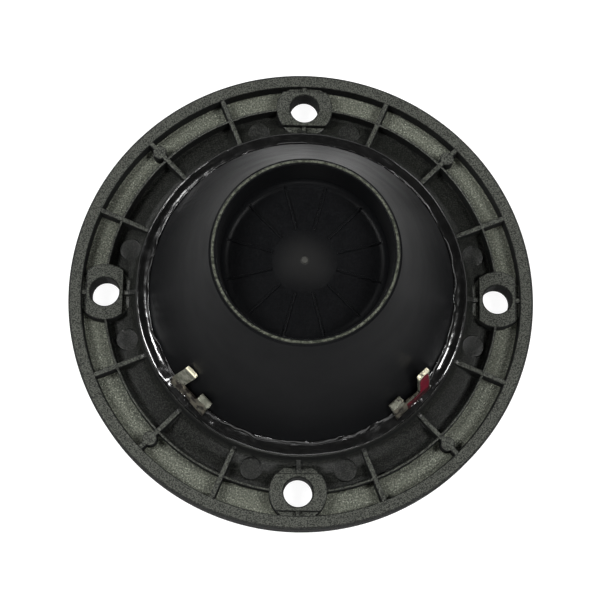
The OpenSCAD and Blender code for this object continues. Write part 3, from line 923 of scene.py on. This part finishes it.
def bead_section(angle):
    """Section of the bead at an angle: groove, lip over the collar, trough and the climb up the cup."""
    lump = sum(hump(angle, turn, 15) for turn in TERMINAL_TURNS.values())
    lump *= 1 + 0.25 * wobble(angle, 110, 8.0)
    blob = 0.6 * sum(hump(angle, turn, 6) for turn in BLOB_TURNS)
    climb = CUP_TAPER_Z + 1.55 + 0.3 * wobble(angle, 9, 1.0) + 0.26 * wobble(angle, 45, 2.0) + 0.3 * blob
    lip = COLLAR_R - 0.16 + 0.12 * wobble(angle, 14, 3.0) + 0.05 * wobble(angle, 70, 9.0) - 0.05 * lump
    crown = COLLAR_Z + 0.42 + 0.10 * wobble(angle, 25, 4.0) + 0.9 * lump + 0.3 * blob
    trough = COLLAR_Z + 0.30 + 0.10 * wobble(angle, 12, 5.0) + 1.6 * lump + 0.5 * blob
    roll = 0.62 + 0.28 * wobble(angle, 24, 6.0) + 0.25 * wobble(angle, 60, 7.0)
    wall = cup_r(climb)
    groove_in = SKIRT_R + 0.05
    groove_out = COLLAR_IN - 0.05
    return [
        (groove_in, LEDGE_Z + 0.08), (groove_out, LEDGE_Z + 0.08), (groove_out, COLLAR_Z + 0.03),
        (lip - 0.15, COLLAR_Z + 0.03), (lip, COLLAR_Z + 0.16), (lip - 0.2, crown - 0.02), (lip - 0.65, crown),
        (lip - 1.2, trough), (SKIRT_R - 0.05, trough + 0.04),
        (wall + roll + 0.22, trough + 0.42 * (climb - trough)), (wall + roll, climb - 0.42),
        (wall + 0.55 * roll, climb + 0.02), (wall + 0.04, climb - 0.02),
        (cup_r(CUP_TAPER_Z + 0.3) + 0.04, CUP_TAPER_Z + 0.3), (groove_in, CUP_TAPER_Z - 0.1),
    ]


def adhesive_bead():
    """Closed ring of set adhesive with an uneven surface."""
    turns = 540
    loops = []
    for i in range(turns):
        a = 2 * pi * i / turns
        loops.append([(r * cos(a), r * sin(a), z) for r, z in bead_section(a)])
    bead = loft("glue_bead", loops, closed=True)
    bead.modifiers.new("smooth", "SUBSURF").levels = 1
    bead.modifiers["smooth"].render_levels = 1
    return bead


# ---------- terminals

STRIP_T = 0.6
STRIP_HALF = 4.7
TAB_W = 2.8
TERMINAL_X = SKIRT_R + 0.2
BEND_Z = CUP_TAPER_Z + 1.2
LUG_BEND = 4.7
WEB_TOP = 2.4
TAB_TOP = 8.8
SHAPES = {
    "negative": {"side": -1, "lean": 26, "tab_sway": -1.4, "lug_lean": 4, "lug_sway": -0.55},
    "positive": {"side": 1, "lean": 16, "tab_sway": 0.7, "lug_lean": 22, "lug_sway": 0.0},
}


def bent_path(start, end, bends):
    """Rows of length, x, z and turn along a strip that starts straight up. A bend is (from, to, degrees)."""
    step = 0.02
    x, z = TERMINAL_X, BEND_Z + start
    rows = []
    for s in np.arange(start, end + step, step):
        turn = sum(d * min(max((s - a) / (b - a), 0), 1) for a, b, d in bends)
        rows.append((s, x, z, turn))
        x -= sin(radians(turn)) * step
        z += cos(radians(turn)) * step
    return np.array(rows).T


def bent_plate(name, outline, depth, shape):
    """Flat outline in (across, along), made depth=(from, to) thick and bent to the terminal's shape."""
    base = (-0.7, 0.7, shape["lean"])
    lug_lean = (0.6, WEB_TOP, shape["lug_lean"])
    lug = (LUG_BEND, LUG_BEND + 0.9, -84 - shape["lean"] - shape["lug_lean"])
    sway_end = 8.0
    straight = bent_path(-3, 10, [base])
    hooked = bent_path(-3, 10, [base, lug_lean, lug])
    bm = bmesh.new()
    low = [bm.verts.new((y, s, depth[0])) for y, s in outline]
    face = bm.faces.new(low)
    made = bmesh.ops.extrude_face_region(bm, geom=[face])
    moved = [v for v in made["geom"] if isinstance(v, bmesh.types.BMVert)]
    bmesh.ops.translate(bm, verts=moved, vec=(0, 0, depth[1] - depth[0]))
    for s in np.arange(-1.0, sway_end, 0.25):
        geometry = bm.verts[:] + bm.edges[:] + bm.faces[:]
        bmesh.ops.bisect_plane(bm, geom=geometry, plane_co=(0, s, 0), plane_no=(0, 1, 0))
    for v in bm.verts:
        y, s, t = v.co
        path = hooked if y < 0 else straight
        if s > WEB_TOP:
            sway = shape["tab_sway"] if y > 0 else shape["lug_sway"]
            y += sway * (min(s, sway_end) - WEB_TOP) / (sway_end - WEB_TOP)
        x, z, turn = (np.interp(s, path[0], path[k]) for k in (1, 2, 3))
        a = radians(turn)
        v.co = ((x + t * cos(a)) * MM, shape["side"] * y * MM, (z + t * sin(a)) * MM)
    bmesh.ops.recalc_face_normals(bm, faces=bm.faces)
    return mesh_object(name, bm)


def bevelled(obj, width):
    """Rounds the sharp edges of the object."""
    bevel = obj.modifiers.new("bevel", "BEVEL")
    bevel.width = width * MM
    bevel.segments = 2
    bevel.limit_method = "ANGLE"
    bevel.angle_limit = radians(40)
    apply_modifiers(obj)
    return obj


def terminal(polarity):
    """Strip with a leaning tab, a low web, a lug bent outwards and a tail through the cup's notch."""
    foot, shoulder, lug_end = -2.75, -1.1, 6.75
    half = STRIP_HALF
    inner = half - TAB_W
    outline = rounded([
        (-3, foot, 0.3), (3, foot, 0.3), (3, shoulder, 0.3), (half, shoulder, 0.5), (half, TAB_TOP, 0.45),
        (inner, TAB_TOP, 0.45), (inner, WEB_TOP, 0.4), (-inner, WEB_TOP, 0.4), (-inner, lug_end, 0.25),
        (-half, lug_end, 0.25), (-half, shoulder, 0.5), (-3, shoulder, 0.3),
    ])
    name = "terminal_" + polarity + "_strip"
    plate = bevelled(bent_plate(name, outline, (0, STRIP_T), SHAPES[polarity]), 0.13)
    stations = np.linspace(TAIL_IN, TERMINAL_X + 0.3, 6)
    combine(plate, bar("tail", (1.2, TAIL_TOP - 0.5, 0.15), (1.2, TAIL_TOP, 0.15), stations), "UNION")
    return turned(plate, TERMINAL_TURNS[polarity])


def polarity_mark():
    """Film of paint brushed over the web and the foot of the tab of the positive terminal."""
    outline = rounded([
        (-1.7, 0.3, 0.3), (1.2, -0.2, 0.4), (4.2, 0.3, 0.5), (4.45, 4.2, 0.8), (4.3, 7.2, 0.6),
        (3.3, 7.9, 0.4), (2.1, 6.9, 0.4), (2.05, 2.6, 0.3), (0.2, 2.1, 0.5), (-1.6, 2.2, 0.3),
    ])
    film = bent_plate("red_mark", outline, (STRIP_T - 0.02, STRIP_T + 0.13), SHAPES["positive"])
    return turned(bevelled(film, 0.05), TERMINAL_TURNS["positive"])


# ---------- phase plug and driver

PLUG_R = 10.4
GASKET_IN = 16.8
CARD_IN = 18.7
APEX_R = 3.0
PAPER_T = 0.35
NEGATIVE_DOT_AT = 8.0
POSITIVE_DOT_AT = 12.15


def cone_z(r):
    """Height of the front of the cone at radius r."""
    low, high = box_mm("cone_diaphragm")
    return low.z + (high.z - low.z - PAPER_T) * (high.x - r) / (high.x - APEX_R)


def plug_vane():
    """Vane of the phase plug with a faired front edge."""
    stations = np.linspace(PLUG_R - 2, THROAT_R + 0.6, 8)
    return bar("vane", (0.6, SEAT_Z, 0.2), (0.6, PLUG_SEAT_Z, 0.55), stations)


def phase_plug():
    """Bullet with four faired vanes inside a thin mounting ring. Its back follows the cone at a small gap."""
    nose, tip_r, gap = 11.4, 2.5, 1.6
    shoulder_r = PLUG_R - 0.6
    shoulder_z, tip_z = (cone_z(r) - gap for r in (shoulder_r, tip_r))
    bullet = [(PLUG_R * sin(a), SEAT_Z - nose * cos(a)) for a in np.linspace(0, pi / 2, 30)]
    bullet += [(PLUG_R, SEAT_Z + 1, 0.4), (shoulder_r, shoulder_z, 0.3), (tip_r, tip_z, 0.8), (0, tip_z)]
    plug = spun("phase_plug_body", bullet, 160)
    ring = rounded([
        (PLUG_MOUTH_R, PLUG_SEAT_Z, 0.1), (THROAT_R, THROAT_Z, 0.3), (THROAT_R, SEAT_Z, 0.15),
        (PLUG_SEAT_R - 0.05, SEAT_Z, 0.15), (PLUG_SEAT_R - 0.05, PLUG_SEAT_Z, 0.15),
    ])
    combine(plug, around("vanes", plug_vane, [45 + a for a in BOSS_TURNS]), "UNION")
    return combine(plug, lathe("plug_ring", ring, 160), "UNION")


def turned_node(node, name, edge, inner=0.0, waves=0.0):
    """Turned piece with the size of a round CAD node and softened edges. Waves make its top uneven."""
    low, high = box_mm(node)
    edge = min(edge, 0.45 * (high.z - low.z))
    r = high.x
    if inner:
        start = [(inner, low.z, edge)]
        end = [((inner + r) / 2, high.z), (inner, high.z, edge)]
    else:
        start = [(0, low.z)]
        end = [(r * t, high.z) for t in (0.75, 0.5, 0.25, 0)]
    outline = rounded([*start, (r, low.z, edge), (r, high.z, edge), *end], closed=bool(inner))
    obj = lathe(name, outline, 160, axis_ends=not inner)
    if waves:
        middle = (low.z + high.z) / 2
        for v in obj.data.vertices:
            if v.co.z > middle * MM:
                place = v.co / MM * 0.35
                v.co.z += (noise.noise(place) - 1) * 0.5 * waves * MM
    return obj


def cone_edge():
    """Flat rim and half roll of the cone's soft edge."""
    low, high = box_mm("cone_edge")
    cloth = 0.35
    foot_z = low.z
    roll_r = high.z - foot_z - cloth
    roll_in = 16.85
    centre = roll_in + roll_r

    def arc(r, start, end):
        """Points on an arc of radius r about the middle of the roll, between two angles."""
        return [(centre + r * cos(a), foot_z + r * sin(a)) for a in np.linspace(start, end, 18)]

    over = arc(roll_r + cloth, pi, 0.07 * pi)
    rim = [(over[-1][0] + 0.35, foot_z + cloth), (high.x, foot_z + cloth), (high.x, foot_z)]
    return lathe("cone_edge_roll", over + rim + arc(roll_r, 0, pi), 200)


def cone_diaphragm():
    """Paper cone with pressed rings and a flat closed apex."""
    outer = box_mm("cone_diaphragm")[1].x
    front = []
    rear = []
    for t in np.linspace(0, 1, 60):
        r = outer + (APEX_R - outer) * t
        press = 0.05 * max(0.0, sin(t * pi * 10)) ** 2 if 0.1 < t < 0.9 else 0.0
        front.append((r, cone_z(r) + press))
        rear.append((r + 0.04, cone_z(r) + press + PAPER_T))
    top = cone_z(APEX_R)
    loop = [(0, top)] + front[::-1] + rear + [(0, top + PAPER_T)]
    return lathe("paper_cone", loop, 200, axis_ends=True)


def blob(at, foot_z, radius, height, turn, lean=0.0):
    """Small domed joint of solder that stands at a distance from the axis, turned about the axis."""
    angles = np.linspace(0, pi / 2, 12)[1:-1]
    dome = [(radius * cos(a) ** 0.8, height * sin(a)) for a in angles]
    profile = [(0, 0), (radius * 1.06, 0), (radius * 1.04, 0.05), *dome, (0, height)]
    obj = lathe("joint", [(r, foot_z + z) for r, z in profile], 40, (at, 0), True)
    for v in obj.data.vertices:
        v.co.x += lean * (v.co.z - foot_z * MM)
    return turned(obj, turn)


def solder_dots():
    """Joints on the rear wafer and on the bare edge of the shim."""
    wafer_top = box_mm("piezo_wafer_rear")[1].z
    shim_top = box_mm("piezo_shim")[1].z
    dots = [
        blob(NEGATIVE_DOT_AT, wafer_top, 0.88, 0.5, TERMINAL_TURNS["negative"], 0.2),
        blob(POSITIVE_DOT_AT, shim_top, 0.78, 0.5, TERMINAL_TURNS["positive"], 0.2),
    ]
    return joined("disc_solder", dots)


def lead_joints():
    """Joints between the terminal tails and the leads."""
    return joined("tail_solder", [blob(JOINT_AT, TAIL_TOP, 0.78, 0.62, a) for a in TERMINAL_TURNS.values()])


def tube(points, radius, sides=20):
    """Round tube through points, with Catmull-Rom smoothing and domed ends."""
    dense = []
    count = len(points)
    for i in range(count - 1):
        a, b, c, d = (Vector(points[min(max(i + k, 0), count - 1)]) for k in (-1, 0, 1, 2))
        for t in np.linspace(0, 1, 7)[:-1]:
            square = (2 * a - 5 * b + 4 * c - d) * t * t
            cube = (3 * b - a - 3 * c + d) * t ** 3
            dense.append(0.5 * (2 * b + (c - a) * t + square + cube))
    dense.append(Vector(points[-1]))
    loops = []
    for i, point in enumerate(dense):
        ahead = (dense[min(i + 1, len(dense) - 1)] - dense[max(i - 1, 0)]).normalized()
        side = Vector((0, 1, 0))
        up = ahead.cross(side).normalized()
        loops.append([tuple(point + radius * (cos(a) * side + sin(a) * up))
                      for a in np.linspace(0, 2 * pi, sides, endpoint=False)])
    return loft("tube", loops)


def finish_lead(polarity, dot_at, disc_node, material):
    """Insulated lead from a terminal's tail up the inside of the cup and in to its solder dot.
    """
    lead_r, wire_r = 0.45, 0.22
    dot_z = box_mm(disc_node)[1].z
    start = cup_in(30) - 7
    stop = dot_at + 1.3
    level = dot_z + 0.95
    route = [(JOINT_AT - 0.1, 0, TAIL_TOP + 0.7)]
    route += [(cup_in(z) - lead_r - 0.4, 0, z) for z in range(14, 27, 2)]
    route += [(cup_in(29) - 1.6, 0, 28.6), (cup_in(30) - 4, 0, 30.6)]
    route += [(stop + s * (start - stop), 0, level + 0.4 * s) for s in (1, 0.66, 0.33, 0)]
    inner_end = [(stop + 0.2, 0, level), (dot_at + 0.7, 0, level - 0.1), (dot_at + 0.1, 0, dot_z + 0.35)]
    outer_end = [(JOINT_AT - back, 0, TAIL_TOP + up) for back, up in ((0.05, 0.9), (0.05, 0.5), (0, 0.2))]
    tubes = [tube(route, lead_r), tube(inner_end, wire_r, 12), tube(outer_end, wire_r, 12)]
    turn = TERMINAL_TURNS[polarity]
    piece = turned(joined("lead_wire_" + polarity, tubes), turn)
    finish_piece(piece, "lead_" + polarity, material, body=None)
    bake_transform(piece)


def damping_pad():
    """Foam disc: crowned faces and rounded, slightly uneven edges."""
    low, high = box_mm("damping_pad")
    r = high.x
    middle = (low.z + high.z) / 2
    upper = [(0, 0.02), (0.5, 0.06), (0.82, 0.14), (0.94, 0.4), (0.985, 0.9)]
    lower = [(0.985, 0.9), (0.94, 0.4), (0.82, 0.14), (0.5, 0.05), (0, 0.02)]
    profile = [(r * share, high.z - drop) for share, drop in upper] + [(r, middle)]
    profile += [(r * share, low.z + rise) for share, rise in lower]
    pad = lathe("foam_disc", profile, 96, axis_ends=True)
    for v in pad.data.vertices:
        v.co += v.co.normalized() * (noise.noise(v.co / MM * 0.9) - 0.6) * 0.12 * MM
    return pad


def damping_ring():
    """Ring of matted fibre with soft uneven sides."""
    low, high = box_mm("damping_ring")
    inner = DRIVER_SEAT_R + 0.3
    outer_low = high.x
    outer_high = outer_low - (high.z - low.z) * CUP_SLOPE
    profile = rounded([
        (inner, low.z, 0.9), ((inner + outer_low) / 2, low.z), (outer_low, low.z, 0.9),
        (outer_high, high.z, 0.9), ((inner + outer_high) / 2, high.z), (inner, high.z, 0.9),
    ])
    ring = lathe("fibre_ring", profile, 220)
    for v in ring.data.vertices:
        axis = Vector((v.co.x, v.co.y, 0)).normalized()
        centre = axis * (inner + outer_low) / 2 * MM + Vector((0, 0, (low.z + high.z) / 2 * MM))
        v.co += (v.co - centre).normalized() * (noise.noise(v.co / MM * 0.5) - 0.7) * 0.16 * MM
    return ring


# ---------- assembly

bpy.context.scene.view_settings.view_transform = "Standard"
make_camera()
make_floor()
make_world()
for light in (
    ("front", 0, 27, (700, 75), 2.7),
    ("right", 82, 58, (140, 220), 4.6),
    ("left", -91, 57, (140, 220), 4.6),
    ("rear_left", -145, 46, (70, 220), 1.1),
    ("low_left", -135, 14, (260, 140), 1.6),
    ("low_right", 140, 14, (260, 140), 1.1),
):
    make_light(*light)

tin = tinned_brass()
joint_solder = solder()
ceramic = silvered_ceramic(box_mm("piezo_wafer_rear")[1].x - 0.8)
gasket_felt = felt("felt", (0.085, 0.085, 0.078), (0.03, 0.03, 0.028))
card = paper("card", (0.42, 0.33, 0.21), (0.29, 0.22, 0.13))
cone_paper = paper("cone_paper", (0.035, 0.031, 0.027), (0.012, 0.011, 0.010), 0.35)
fibre = felt("fibre", (0.30, 0.30, 0.27), (0.14, 0.14, 0.12), 0.4)
lead_red = insulation("lead_red", (0.42, 0.02, 0.015), (0.26, 0.012, 0.01))
lead_black = insulation("lead_black", (0.02, 0.02, 0.022), (0.008, 0.008, 0.009))

finish_piece(horn_frame(), "horn_frame", flange_plastic())
finish_piece(rear_cup(), "rear_cup", cup_plastic())
finish_piece(adhesive_bead(), "adhesive_bead", adhesive(), angle=60)
for polarity in ("positive", "negative"):
    finish_piece(terminal(polarity), "terminal_" + polarity, tin)
finish_piece(polarity_mark(), "polarity_mark", red_paint())
finish_piece(phase_plug(), "phase_plug", plug_plastic())
finish_piece(turned_node("throat_gasket", "gasket_ring", 0.25, GASKET_IN, 0.08), "throat_gasket", gasket_felt)
finish_piece(cone_edge(), "cone_edge", coated_cloth())
finish_piece(turned_node("cone_rim_ring", "card_ring", 0.12, CARD_IN, 0.03), "cone_rim_ring", card)
finish_piece(cone_diaphragm(), "cone_diaphragm", cone_paper, "diaphragm")
for node, name, edge, waves, material in (
    ("apex_coupler", "epoxy_joint", 0.3, 0.08, epoxy()),
    ("piezo_wafer_front", "wafer_front", 0.04, 0.0, ceramic),
    ("piezo_shim", "brass_shim", 0.03, 0.0, rolled_brass()),
    ("piezo_wafer_rear", "wafer_rear", 0.04, 0.0, ceramic),
):
    finish_piece(turned_node(node, name, edge, waves=waves), node, material, "diaphragm")
finish_piece(solder_dots(), "piezo_solder_dots", joint_solder, "diaphragm", 60)
finish_piece(lead_joints(), "lead_joints", joint_solder, angle=60)
finish_piece(damping_pad(), "damping_pad", foam())
finish_piece(damping_ring(), "damping_ring", fibre)
finish_lead("positive", POSITIVE_DOT_AT, "piezo_shim", lead_red)
finish_lead("negative", NEGATIVE_DOT_AT, "piezo_wafer_rear", lead_black)
